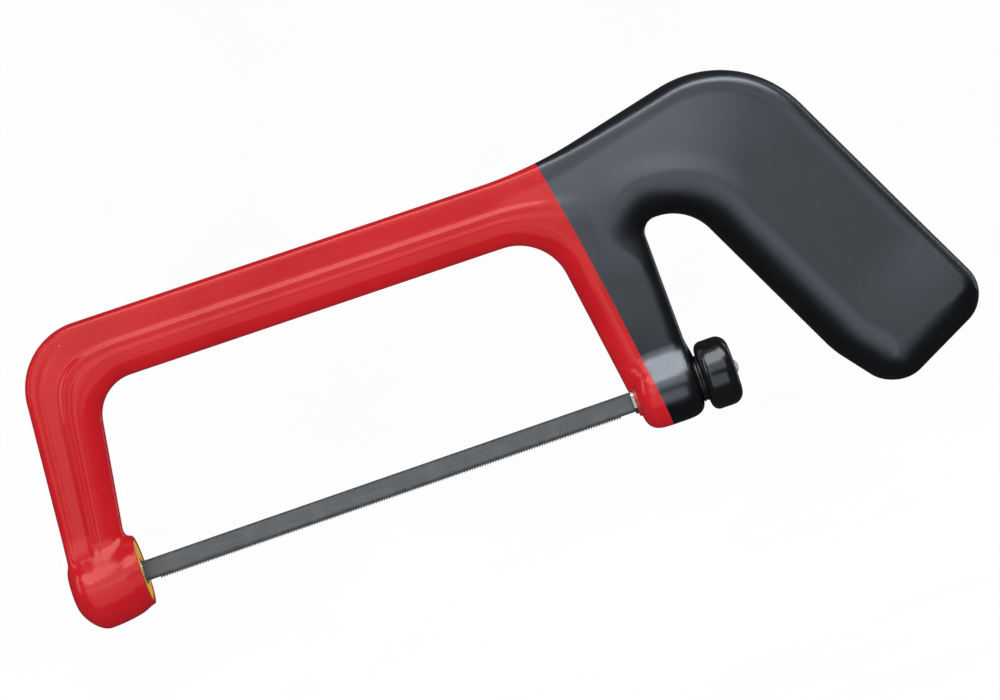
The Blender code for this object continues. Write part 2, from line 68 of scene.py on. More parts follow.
# Outlines in the side view, as corners (x, z, radius): the back of the bow and grip, the opening over
# the blade, and the opening between the rear arm and the grip
OUTER = ((-96.0, -2, 0), (-89.6, 75.0, 20), (68, 73.35, 125), (137.15, 89.45, 33.2), (179.8, 2.7, 0))
THROAT = ((-79.4, -2, 0), (-70.5, 55.25, 12), (66.9, 54.2, 15.5), (75.6, -4, 0))
LOOP = ((94.9, 0, 0), (93.9, 48.5, 4.4), (108.3, 48.5, 15), (134.8, -5.1, 30), (144.2, -16.9, 0))
GRIP_DOWN = (0.447, -0.894)  # direction of the grip towards its butt, in x and z
BUTT_END = 86.15  # the butt's end, measured from the origin along GRIP_DOWN
BUTT_BACK_CORNER = 10.4
BUTT_FINGER_CORNER = 8.8
FRONT_ARM_BOTTOM = -1.0
REAR_ARM_BOTTOM = 3.0
ARMS_END = 100.0  # x past which there is only the grip

# Half thickness of the bow, and what the grip adds to it
BOW_HALF = 5.85
GRIP_HALF_MORE = 6.95

# Edge rounding: how far it reaches in from the outline, and how far it goes down from the face
OUTER_REACH = (1.9, 4.3)  # bow, grip
OUTER_HEIGHT = (2.8, 8.8)  # bow, grip
THROAT_REACH = 7.4
LOOP_REACH = (4.6, 13.8)  # rear arm, grip
BUTT_REACH = 12.0
BUTT_HEIGHT = 9.0

# Front boss, with the cut face that shows the yellow layer
FACE_X = -74.9
FACE_CENTRE_Z = 0.4
FACE_RADIUS = 10.4
BOSS_RIM = 0.3  # rounding of the coat's edge there
RIM_OVERLAP = 0.25
FRONT_END_X = -96.4
PAST_FACE = 2.5  # the boss is meshed this far past its face, then cut

# Rear boss
REAR_BOSS_X = 85.5
REAR_BOSS_RADIUS = 10.15
REAR_BOSS_HALF = (9.4, 9.35)  # left, right
REAR_BOSS_POWER = (4.0, 4.5)  # squareness of the left and right ends

COAT = 1.2  # thickness of the red and black plastic
UNDERCOAT_GAP = 0.1
UNDERCOAT_RADIUS = FACE_RADIUS - COAT + UNDERCOAT_GAP  # of the yellow disc in the front boss's face
DIP_LINE = (82.66, -0.1243, -0.000488)  # edge of the black coat, x = a + b z + c z^2

BLADE_THICK = 0.65
TEETH_HALF = 71.0  # half the length that has teeth
TOOTH_PITCH = 25.4 / 32
TOOTH_SET = 0.12  # how far the wavy set leans the teeth out
TEETH_IN_WAVE = 9.0

WELD = 1e-7  # metres within which a cut or a joined end counts as one point

# The view, level with the saw's side and rolled. RIGHT and UP are the picture's, TOWARDS goes to the camera
ROLL = math.radians(19.12)
VIEW_CENTRE = Vector((43.36 * MM, 0, 26.78 * MM))
VIEW_WIDTH = 289.86
LENS = 150.0
SENSOR = 36.0
RIGHT = Vector((math.cos(ROLL), 0, -math.sin(ROLL)))
UP = Vector((math.sin(ROLL), 0, math.cos(ROLL)))
TOWARDS = Vector((0, -1, 0))

# The floor, in metres
FLOOR_DROP = 0.22  # from the saw's lowest point
FLOOR_FLAT = 2.4
FLOOR_BEND = 1.2
WALL_TOP = 3.2
FLOOR_SIDES = 96

# Softboxes: name, direction (right, up, towards the camera), distance, width, height, watts.
# The first lot is seen only in reflections, and the second only lights the surfaces evenly.
REFLECTIONS = (
    ("key_above", (0.0, 0.88, 0.47), 1.5, 2.2, 0.92, 38),
    ("front_box", (-0.05, 0.44, 0.90), 2.2, 2.4, 1.35, 17.5),
    ("low_box", (0.0, -0.44, 0.90), 2.2, 2.2, 1.4, 14),
    ("left_strip", (-0.88, 0.25, 0.42), 1.8, 0.5, 1.6, 9),
    ("left_box", (-0.27, 0.0, 0.96), 2.2, 0.62, 1.0, 3.0),
    ("rim_strip", (0.66, 0.42, -0.62), 1.8, 0.22, 1.8, 2.5),
)
FILLS = (
    ("top_fill", (0.0, 0.93, 0.36), 1.8, 2.2, 1.5, 6),
    ("front_fill", (-0.1, 0.15, 1.0), 2.6, 2.6, 2.0, 34),
    ("back_fill", (0.1, 0.5, -1.0), 2.6, 2.6, 2.0, 40),
)


def smooth(value):
    value = np.clip(value, 0.0, 1.0)
    return value * value * (3 - 2 * value)


def mix(first, last, share):
    return first + (last - first) * share


def either(first, second):
    return 1 - (1 - first) * (1 - second)


def above_zero(value, softness):
    """The larger of the value and zero, with a soft bend between them."""
    return 0.5 * (value + np.sqrt(value * value + softness * softness))


def bell(value, middle, width):
    return np.exp(-(((value - middle) / width) ** 2))


# ---------------------------------------------------------------- outlines in the side view


def outline_parts(corners):
    """Straight stretches and arcs of a polyline whose corners are rounded."""
    spots = [np.array(corner[:2], float) for corner in corners]
    lines, arcs = [], []
    start = spots[0]
    for before, corner, after, (_, _, radius) in zip(spots, spots[1:], spots[2:], corners[1:]):
        back = (before - corner) / np.linalg.norm(before - corner)
        ahead = (after - corner) / np.linalg.norm(after - corner)
        half_angle = math.acos(float(back @ ahead)) / 2
        reach = radius / math.tan(half_angle)
        middle = (back + ahead) / np.linalg.norm(back + ahead)
        centre = corner + middle * radius / math.sin(half_angle)
        turn = 1.0 if cross(*back, *ahead) < 0 else -1.0
        first, last = corner + back * reach, corner + ahead * reach
        lines.append((start, first))
        arcs.append((centre, radius, first, last, turn))
        start = last
    lines.append((start, spots[-1]))
    return lines, arcs


def cross(ax, az, bx, bz):
    return ax * bz - az * bx


def left_distance(parts, x, z):
    """Distance to an outline, positive on its left. Its first and last stretches go on for ever."""
    lines, arcs = parts
    best = np.full(x.shape, 1e9)
    signed = np.zeros(x.shape)
    for i, (a, b) in enumerate(lines):
        length = np.linalg.norm(b - a)
        ux, uz = (b - a) / length
        dx, dz = x - a[0], z - a[1]
        low = -1e6 if i == 0 else 0.0
        high = 1e6 if i == len(lines) - 1 else length
        along = np.clip(dx * ux + dz * uz, low, high)
        gap = np.hypot(dx - along * ux, dz - along * uz)
        near = gap < best
        best = np.where(near, gap, best)
        signed = np.where(near, gap * np.where(cross(ux, uz, dx, dz) >= 0, 1.0, -1.0), signed)
    for centre, radius, a, b, turn in arcs:
        dx, dz = x - centre[0], z - centre[1]
        away = np.hypot(dx, dz)
        past_start = cross(a[0] - centre[0], a[1] - centre[1], dx, dz) * turn >= 0
        before_end = cross(dx, dz, b[0] - centre[0], b[1] - centre[1]) * turn >= 0
        gap = np.abs(away - radius)
        near = past_start & before_end & (gap < best)
        best = np.where(near, gap, best)
        signed = np.where(near, (radius - away) * turn, signed)
    return signed


OUTER_PARTS = outline_parts(OUTER)
THROAT_PARTS = outline_parts(THROAT)
LOOP_PARTS = outline_parts(LOOP)


def side_distances(x, z):
    """Distances inwards from the back, the throat, the loop and the butt."""
    outer = -left_distance(OUTER_PARTS, x, z)
    throat = left_distance(THROAT_PARTS, x, z)
    loop = left_distance(LOOP_PARTS, x, z)
    butt = BUTT_END - GRIP_DOWN[0] * x - GRIP_DOWN[1] * z
    return outer, throat, loop, butt


def rounded_meet(a, b, radius):
    """Inside distance where two sides meet in a rounded corner."""
    return np.maximum(radius, np.minimum(a, b)) - np.hypot(
        np.maximum(radius - a, 0), np.maximum(radius - b, 0)
    )


def outline_distance(x, z, sides):
    """Distance inwards from the nearest edge."""
    outer, throat, loop, butt = sides
    inside = np.minimum(rounded_meet(outer, butt, BUTT_BACK_CORNER), throat)
    inside = np.minimum(inside, rounded_meet(loop, butt, BUTT_FINGER_CORNER))
    bottom = np.where(x < 0, FRONT_ARM_BOTTOM, REAR_ARM_BOTTOM)
    return np.where(x < ARMS_END, np.minimum(inside, z - bottom), inside)


# ---------------------------------------------------------------- distance field of the coated bow


def off_rear_arm(x, z):
    """0 on the lower rear arm, which is as thin as the bow, and 1 above it and on the grip."""
    return either(smooth((z - 32) / 32), smooth((x - 95) / 10))


def crest_height(x, z):
    """Half thickness, which grows from the bow to the grip along a slanted line."""
    grow = smooth((x + 0.45 * (65 - z) - 52) / 80) * off_rear_arm(x, z)
    return BOW_HALF + GRIP_HALF_MORE * grow


def edge_rounding(x, z, sides, crest):
    """Reach and height of the rounding, blended from those of the nearest edges."""
    near_grip = smooth((x - 60) / 45)
    thick_loop = either(smooth((x - 99) / 7), smooth((z - 36) / 14))
    reaches = (mix(*OUTER_REACH, near_grip), THROAT_REACH, mix(*LOOP_REACH, thick_loop), BUTT_REACH)
    outer_height = np.minimum(mix(*OUTER_HEIGHT, near_grip), 0.8 * crest)
    heights = (outer_height, 0.93 * crest, mix(4.5, 0.9 * crest, thick_loop), BUTT_HEIGHT)
    weights = [1 / (np.maximum(gap, 0) + 0.6) ** 4 for gap in sides]
    total = sum(weights)
    reach = sum(w * r for w, r in zip(weights, reaches)) / total
    height = sum(w * h for w, h in zip(weights, heights)) / total
    return reach, height


def bow_relief(share, x):
    """Raised inner band of the bow, with a line along it. share runs from 0 at the back to 1 inside."""
    step = 0.75 * (smooth((share - 0.415) / 0.085) - 1)
    valley = -0.26 * bell(share, 0.568, 0.034)
    slope = -0.18 * above_zero(1 - share / 0.44, 0.05)
    groove = -0.14 * bell(share, 0.20, 0.035) * (1 - smooth((x + 86) / 10))
    return step + valley + slope + groove


def face_height(x, z, sides, crest):
    """Height of the faces over the middle plane."""
    outer, throat, loop, butt = sides
    inner = np.maximum(np.minimum(throat, loop), 0.01)
    share = np.maximum(outer, 0) / (np.maximum(outer, 0.01) + inner)
    on_bow = 1 - smooth((x - 50) / 34)
    clear_of_boss = np.where(x < -60, smooth((z - 6) / 10), 1.0)
    face = crest + on_bow * clear_of_boss * bow_relief(share, x)

    # The grip's sides fall away towards its back, and have a shallow dish set in from the edges
    on_grip = (1 - on_bow) * off_rear_arm(x, z) * smooth((butt - 8) / 26)
    dish = smooth((outer - 2.2) / 5.0) * smooth((inner - 9.5) / 9.0)
    face = face - on_grip * 1.1 * above_zero(1 - share / 0.62, 0.2)
    face = face - 0.55 * on_grip * dish

    # The rear arm's sides fall away towards the loop
    arm_width = np.maximum(loop, 0.01) + np.maximum(throat, 0.01)
    from_loop = np.maximum(loop, 0) / (0.66 * arm_width)
    on_rear_arm = np.where(x < 98, 1 - smooth((z - 30) / 20), 0.0)
    return face - 0.55 * on_rear_arm * above_zero(1 - from_loop, 0.05)


def plan(x, z):
    """Inside distance, reach and height of the edge rounding, and height of the face, in the side view."""
    sides = side_distances(x, z)
    crest = crest_height(x, z)
    reach, height = edge_rounding(x, z, sides, crest)
    return outline_distance(x, z, sides), reach, height, face_height(x, z, sides, crest)


def limbs(inside, reach, height, face, y):
    """The limbs' field: the plan's outline rounded over towards the faces by quarter ellipses."""
    across = np.maximum(reach - inside, 0) / reach
    up = np.maximum(np.abs(y) - face + height, 0) / height
    radius = np.hypot(across, up)
    slope = np.sqrt((across / reach) ** 2 + (up / height) ** 2)
    size = np.where(radius > 1e-6, radius / np.maximum(slope, 1e-9), np.minimum(reach, height))
    return (radius - 1) * size


def front_boss(x, y, z):
    """Round boss with a soft left end, which hangs a little lower in its middle than at its face."""
    behind_rim = FACE_X - BOSS_RIM - RIM_OVERLAP - x
    sag = 1 - (1 - np.clip(behind_rim / 14, 0, 1)) ** 2
    centre = FACE_CENTRE_Z - 2.1 * sag + 1.7 * smooth((-89 - x) / 8)
    radius = FACE_RADIUS + 0.45 * smooth(behind_rim / 4)
    end = 5.6 + 1.6 * smooth(-z / 8)
    side = np.hypot(y, z - centre) - (radius - end)
    back = FRONT_END_X + end - x
    body = np.hypot(np.maximum(side, 0), np.maximum(back, 0)) + np.minimum(np.maximum(side, back), 0) - end
    return np.maximum(body, x - (FACE_X + PAST_FACE))


def rear_boss(x, y, z):
    """Barrel about the bolt's axis."""
    left = x < REAR_BOSS_X
    share = np.abs(x - REAR_BOSS_X) / np.where(left, *REAR_BOSS_HALF)
    power = np.where(left, *REAR_BOSS_POWER)
    around = np.hypot(y, z) / REAR_BOSS_RADIUS
    return ((share**power + around**power) ** (1 / power) - 1) * REAR_BOSS_RADIUS


def blend(a, b, width):
    """Union of two fields with a fillet."""
    over = np.maximum(width - np.abs(a - b), 0) / width
    return np.minimum(a, b) - over * over * width / 4


def with_bosses(field, x, y, z):
    """The limbs with the bosses joined on by fillets, which are small on the outer sides."""
    on_faces = smooth((np.abs(y) - 2) / 4)
    field = blend(field, front_boss(x, y, z), 0.8 + (2.8 + on_faces) * smooth((x + 96) / 9))
    return blend(field, rear_boss(x, y, z), 1.6 + 2.2 * smooth((x - 74) / 10))


def bow_field(x, y, z):
    return with_bosses(limbs(*plan(x, z), y), x, y, z)


def bow_on_grid(xs, ys, zs):
    """The field on a grid. The plan is the same for every y, and the bosses only matter near them."""
    x, z = np.meshgrid(xs, zs, indexing="ij")
    parts = [part[:, None, :] for part in plan(x, z)]
    x, y, z = xs[:, None, None], ys[None, :, None], zs[None, None, :]
    field = limbs(*parts, y)
    near = (xs < -60) | ((xs > 60) & (xs < 110))
    field[near] = with_bosses(field[near], x[near], y, z)
    return field


# ---------------------------------------------------------------- meshing the field


def cells_beside(cell, others, back):
    """The cells next to these, back by 0 or 1 along the two other axes."""
    near = cell.copy()
    near[:, others[0]] -= back[0]
    near[:, others[1]] -= back[1]
    return near


def grid_crossings(values):
    """For each axis: the grid edges where the sign changes, as cells, places and rising or falling."""
    for axis in range(3):
        ahead = np.moveaxis(values, axis, 0)
        first, last = ahead[:-1], ahead[1:]
        i, j, k = np.nonzero((first < 0) != (last < 0))
        a, b = first[i, j, k], last[i, j, k]
        others = [other for other in range(3) if other != axis]
        order = [axis] + others
        place = np.empty((len(i), 3), np.float32)
        place[:, order] = np.stack((i + a / (a - b), j, k), axis=1).astype(np.float32)
        cell = np.empty((len(i), 3), np.int64)
        cell[:, order] = np.stack((i, j, k), axis=1)
        yield axis, others, cell, place, a < 0


def surface_net(on_grid, low, high, step, level=0.0):
    """Points and quads of a grid's level surface: one point in each cell that the surface crosses."""
    axes = [np.arange(a, b + step, step) for a, b in zip(low, high)]
    values = on_grid(*axes).astype(np.float32) - level
    cells = np.array(values.shape) - 1
    crossings = list(grid_crossings(values))
    total = np.zeros((*cells, 3), np.float32)
    hits = np.zeros(cells, np.float32)
    for _, others, cell, place, _ in crossings:
        for back in ((0, 0), (0, 1), (1, 0), (1, 1)):
            near = cells_beside(cell, others, back)
            fits = ((near >= 0) & (near < cells)).all(axis=1)
            index = tuple(near[fits].T)
            np.add.at(total, index, place[fits])
            np.add.at(hits, index, 1)
    used = hits > 0
    number = np.full(used.shape, -1, np.int64)
    number[used] = np.arange(used.sum())
    points = total[used] / hits[used][:, None] * step + np.array(low)
    quads = []
    for axis, others, cell, _, rising in crossings:
        corners = []
        for back in ((0, 0), (1, 0), (1, 1), (0, 1)):
            near = cells_beside(cell, others, back)
            corners.append(number[tuple(np.clip(near, 0, cells - 1).T)])
        quad = np.stack(corners, axis=1)
        turned_round = ~rising if axis != 1 else rising
        quad[turned_round] = quad[turned_round][:, ::-1]
        quads.append(quad)
    return points.astype(np.float64), np.concatenate(quads)


def slope_of(field, points, reach=0.02):
    """Gradient of the field at the points."""
    slope = np.empty_like(points)
    for axis in range(3):
        step = np.zeros(3)
        step[axis] = reach
        ahead, behind = (points + step).T, (points - step).T
        slope[:, axis] = (field(*ahead) - field(*behind)) / (2 * reach)
    return slope


def settle(field, points, level, limit, rounds=3):
    """Move the points onto the field's exact level surface."""
    for _ in range(rounds):
        slope = slope_of(field, points)
        size = np.maximum((slope * slope).sum(axis=1), 1e-6)
        move = -((field(*points.T) - level) / size)[:, None] * slope
        length = np.maximum(np.linalg.norm(move, axis=1, keepdims=True), 1e-9)
        points = points + move * np.minimum(1, limit / length)
    return points


def dip_x(z):
    a, b, c = DIP_LINE
    return a + b * z + c * z * z


# ---------------------------------------------------------------- mesh helpers


def link(name, data):
    made = bpy.data.objects.new(name, data)
    bpy.context.scene.collection.objects.link(made)
    return made


def mesh_of(name, points, faces):
    made = bpy.data.meshes.new(name)
    made.from_pydata((points * MM).tolist(), [], faces.tolist())
    made.update()
    return made


def mesh_from(shape, name):
    """A mesh from a bmesh, which is freed."""
    made = bpy.data.meshes.new(name)
    shape.to_mesh(made)
    shape.free()
    return made


def finish_mesh(made, angle=40):
    """Smooth shading, with edges sharper than the angle in degrees kept sharp."""
    made.data.shade_smooth()
    made.data.set_sharp_from_angle(angle=math.radians(angle))
    return made


def turned_rings(profile, sides, centre_z=0.0):
    """Rings of points about an axis along x, from (x, radius) pairs."""
    turns = np.linspace(0, 2 * math.pi, sides, endpoint=False)
    return [
        np.stack((np.full(sides, x), radius * np.cos(turns), centre_z + radius * np.sin(turns)), axis=1)
        for x, radius in profile
    ]


def add_rings(shape, rings, closed_ends=True):
    """Skin rings of points in a bmesh."""
    loops = [[shape.verts.new(Vector(point) * MM) for point in ring] for ring in rings]
    count = len(loops[0])
    for near, far in zip(loops, loops[1:]):
        for i in range(count):
            shape.faces.new((near[i], near[(i + 1) % count], far[(i + 1) % count], far[i]))
    if closed_ends:
        shape.faces.new(loops[0][::-1])
        shape.faces.new(loops[-1])


def turned(name, profile, sides=96, closed_profile=True, angle=40):
    """Piece turned about the x axis. A closed profile joins its end to its start."""
    shape = bmesh.new()
    rings = turned_rings(profile, sides)
    if closed_profile:
        add_rings(shape, rings + [rings[0]], closed_ends=False)
        bmesh.ops.remove_doubles(shape, verts=shape.verts, dist=WELD)
    else:
        add_rings(shape, rings)
    bmesh.ops.recalc_face_normals(shape, faces=shape.faces)
    return finish_mesh(link(name, mesh_from(shape, name)), angle)


def arc(centre_x, centre_r, radius, first, last, count):
    """(x, radius) pairs round a rounded edge, angles in degrees from +x towards the outside."""
    return [
        (centre_x + radius * math.cos(math.radians(a)), centre_r + radius * math.sin(math.radians(a)))
        for a in np.linspace(first, last, count)
    ]


def cut_across(shape, geometry, x, **cleared):
    """Cut at this x, in metres. clear_outer drops what lies past it, and clear_inner what lies before."""
    bmesh.ops.bisect_plane(
        shape, geom=geometry, plane_co=(x, 0, 0), plane_no=(1, 0, 0), dist=WELD, **cleared
    )


# ---------------------------------------------------------------- the coats


def trim_front_face(shape):
    """Cut the front boss off at its face, leaving the rest of the mesh alone."""
    low_x, high_x, high_z = (FACE_X - 3) * MM, (FACE_X + 8) * MM, 14 * MM
    near = []
    for face in shape.faces:
        middle = face.calc_center_median()
        if low_x < middle.x < high_x and middle.z < high_z:
            near.append(face)
    edges = {edge for face in near for edge in face.edges}
    verts = {vert for face in near for vert in face.verts}
    cut_across(shape, [*verts, *edges, *near], (FACE_X - BOSS_RIM) * MM, clear_outer=True)


def add_rim(shape):
    """Rounded edge of the coat at the front boss's face, and the wall behind it."""
    edge = 0.15  # rounding of the wall's end
    profile = [(FACE_X - BOSS_RIM - RIM_OVERLAP, FACE_RADIUS + 0.004)]
    profile += arc(FACE_X - BOSS_RIM, FACE_RADIUS - BOSS_RIM, BOSS_RIM, 90, 0, 6)
    profile += arc(FACE_X - edge, UNDERCOAT_RADIUS + edge, edge, 0, -90, 4)
    profile += [(FACE_X - 4.0, UNDERCOAT_RADIUS)]
    add_rings(shape, turned_rings(profile, 128, FACE_CENTRE_Z), closed_ends=False)


def coat_part(whole, name, front_side):
    """The coated surface in front of the dip line or behind it, cut exactly along that curve."""
    shape = bmesh.new()
    shape.from_mesh(whole)
    for vert in shape.verts:
        vert.co.x -= dip_x(vert.co.z / MM) * MM
    everything = shape.verts[:] + shape.edges[:] + shape.faces[:]
    cut_across(shape, everything, 0, clear_outer=front_side, clear_inner=not front_side)
    for vert in shape.verts:
        vert.co.x += dip_x(vert.co.z / MM) * MM
    if front_side:
        trim_front_face(shape)
        add_rim(shape)
    return finish_mesh(link(name, mesh_from(shape, name)), 50)


def coat_pieces():
    """The red coat and the black coat."""
    points, quads = surface_net(bow_on_grid, GRID_LOW, COAT_GRID_HIGH, COAT_GRID)
    points = settle(bow_field, points, 0.0, COAT_GRID)
    whole = mesh_of("whole_coat", points, quads)
    red = coat_part(whole, "red_dip_coat", True)
    black = coat_part(whole, "black_grip_coat", False)
    bpy.data.meshes.remove(whole)
    return red, black


def add_undercoat_face(shape):
    """The yellow layer at the front boss's face: its rounded rim, its flat, and its bore round the stud."""
    outside = [(FACE_X - 3.0, UNDERCOAT_RADIUS - 0.05), (FACE_X - 0.55, UNDERCOAT_RADIUS - 0.05)]
    outside += arc(FACE_X - 0.55, UNDERCOAT_RADIUS - 0.35, 0.3, 90, 10, 5)
    outside += [(FACE_X - 0.2, UNDERCOAT_RADIUS - 1.6)]
    bore = [(FACE_X - 0.12, 5.2), (FACE_X - 0.22, 4.3), (FACE_X - 0.5, 4.0), (FACE_X - 3.0, 3.95)]
    rings = turned_rings(outside, 96, FACE_CENTRE_Z) + turned_rings(bore, 96)
    add_rings(shape, rings, closed_ends=False)


def undercoat_piece():
    """The yellow layer under the coats, from the same field further in."""
    points, quads = surface_net(bow_on_grid, GRID_LOW, UNDERCOAT_GRID_HIGH, UNDERCOAT_GRID, -COAT)
    points = settle(bow_field, points, -COAT - UNDERCOAT_GAP, UNDERCOAT_GRID)
    layer = mesh_of("undercoat_layer", points, quads)
    shape = bmesh.new()
    shape.from_mesh(layer)
    bpy.data.meshes.remove(layer)
    trim_front_face(shape)
    add_undercoat_face(shape)
    return finish_mesh(link("yellow_undercoat", mesh_from(shape, "yellow_undercoat")))


# ---------------------------------------------------------------- small parts


def box_mm(node):
    low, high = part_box(node)
    return low / MM, high / MM


def knob_piece():
    """Black knob with a rounded rim, a soft left edge, and a dished end round its plug."""
    low, high = box_mm("knob_body")
    left, right = low.x, high.x
    radius = high.z + 0.25
    edge = 2.4
    rim = 3.6
    profile = [(left + 5.0, 2.75), (left + 0.5, 2.75), (left, 3.3), (left, 6.6)]
    profile += arc(left + edge, radius - edge, edge, 172, 95, 9)
    profile += [(left + 3.2, radius - 0.03), (right - rim - 0.4, radius)]
    profile += arc(right - rim, radius - rim, rim, 82, 8, 10)
    profile += [(right - 0.05, 5.6), (right - 0.25, 4.6), (right - 0.55, 3.2), (right - 0.62, 2.4)]
    profile += [(right - 1.3, 2.15), (right - 2.2, 2.15), (right - 2.2, 2.0), (left + 5.0, 2.0)]
    return turned("tension_knob", profile, 128, angle=30)


def plug_piece():
    """Grey plug with a domed end, which fills the knob's hole."""
    low, high = box_mm("knob_plug")
    radius = high.z
    flat = 0.1
    dome = np.linspace(0, 1.5, 9)
    profile = [(low.x, 0.01), (low.x, radius)]
    profile += [(high.x - 1.0 + math.sin(a), flat + (radius - flat) * math.cos(a)) for a in dome]
    return turned("knob_end_plug", profile, 48, closed_profile=False)


def washer_piece():
    """Black neck between the rear boss and the knob, waisted and with a soft edge."""
    low, high = box_mm("thrust_washer")
    radius = high.z
    bore = 2.8
    profile = [(low.x - 0.5, bore), (low.x - 0.5, radius - 0.6)]
    profile += arc(low.x, radius - 0.45, 0.45, 120, 60, 5)
    profile += [((low.x + high.x) / 2, radius - 0.35)]
    profile += arc(high.x - 0.1, radius - 0.4, 0.4, 110, 20, 5)
    profile += [(high.x + 0.2, bore)]
    return turned("neck_washer", profile)


def bush_piece():
    """Red collar round the bolt, with a rounded lip, and its bore."""
    low, _ = box_mm("guide_bush")
    lip = 4.75
    edge = 0.45
    profile = [(low.x + 6, lip), (low.x + edge, lip)]
    profile += arc(low.x + edge, lip - edge, edge, 90, 180, 6)
    profile += [(low.x + 0.25, 3.95), (low.x + 6, 3.9)]
    return turned("bolt_collar", profile)


def bush_ring_piece():
    """Edge of the yellow layer round the bolt's collar."""
    low, _ = box_mm("guide_bush")
    start = low.x + 1.15
    profile = [(start + 5, 5.75), (start + 0.2, 5.75)]
    profile += arc(start + 0.25, 5.5, 0.25, 90, 180, 5)
    profile += [(start, 4.85), (start + 5, 4.8)]
    return turned("yellow_bolt_ring", profile)


def blade_column(x, bottom, set_off, top):
    """Ring of points round the blade's section at one place along it. Its top edges are bevelled."""
    ease = 0.06
    root = bottom + 1.0
    return [
        (x, ease, top), (x, 0.0, top - ease), (x, 0.0, root), (x, set_off, bottom),
        (x, BLADE_THICK + set_off, bottom), (x, BLADE_THICK, root), (x, BLADE_THICK, top - ease),
        (x, BLADE_THICK - ease, top),
    ]


def tooth_columns(x, tip, gullet, set_off, top):
    """One tooth, leaning out by set_off: a steep front, a narrow tip and a long back."""
    return [
        blade_column(x + 0.10 * TOOTH_PITCH, tip, set_off, top),
        blade_column(x + 0.34 * TOOTH_PITCH, tip + 0.10, set_off, top),
        blade_column(x + 0.90 * TOOTH_PITCH, gullet, set_off * 0.6, top),
        blade_column(x + 1.0 * TOOTH_PITCH, gullet, set_off * 0.6, top),
    ]


def tab_rings(inner, outward, bottom, top, reach):
    """The end of the blade, bent across, with eased edges."""
    rings = []
    for step in np.linspace(0, 1, 7):
        x = inner + outward * BLADE_THICK * step
        ease = 0.08 if step in (0.0, 1.0) else 0.0
        near, far = BLADE_THICK / 2, reach - ease
        low, high = bottom + ease, top - ease
        rings.append([(x, near, low), (x, far, low), (x, far, high), (x, near, high)])
    return rings


def blade_piece():
    """Thin blade with fine wavy-set teeth and a bent tab at each end."""
    low, high = box_mm("blade")
    top, tip = high.z - 0.16, low.z - 0.38
    gullet = tip + 0.55
    columns = [blade_column(low.x + 0.02, gullet, 0.0, top), blade_column(-TEETH_HALF, gullet, 0.0, top)]
    for i in range(int(2 * TEETH_HALF / TOOTH_PITCH)):
        set_off = TOOTH_SET * math.sin(2 * math.pi * i / TEETH_IN_WAVE)
        columns += tooth_columns(-TEETH_HALF + i * TOOTH_PITCH, tip, gullet, set_off, top)
    columns.append(blade_column(high.x - 0.02, gullet, 0.0, top))
    shape = bmesh.new()
    add_rings(shape, columns)
    for inner, outward in ((low.x, 1), (high.x, -1)):
        add_rings(shape, tab_rings(inner, outward, gullet, top, high.y))
    bmesh.ops.recalc_face_normals(shape, faces=shape.faces)
    return finish_mesh(link("saw_blade", mesh_from(shape, "saw_blade")), 25)


# ---------------------------------------------------------------- materials


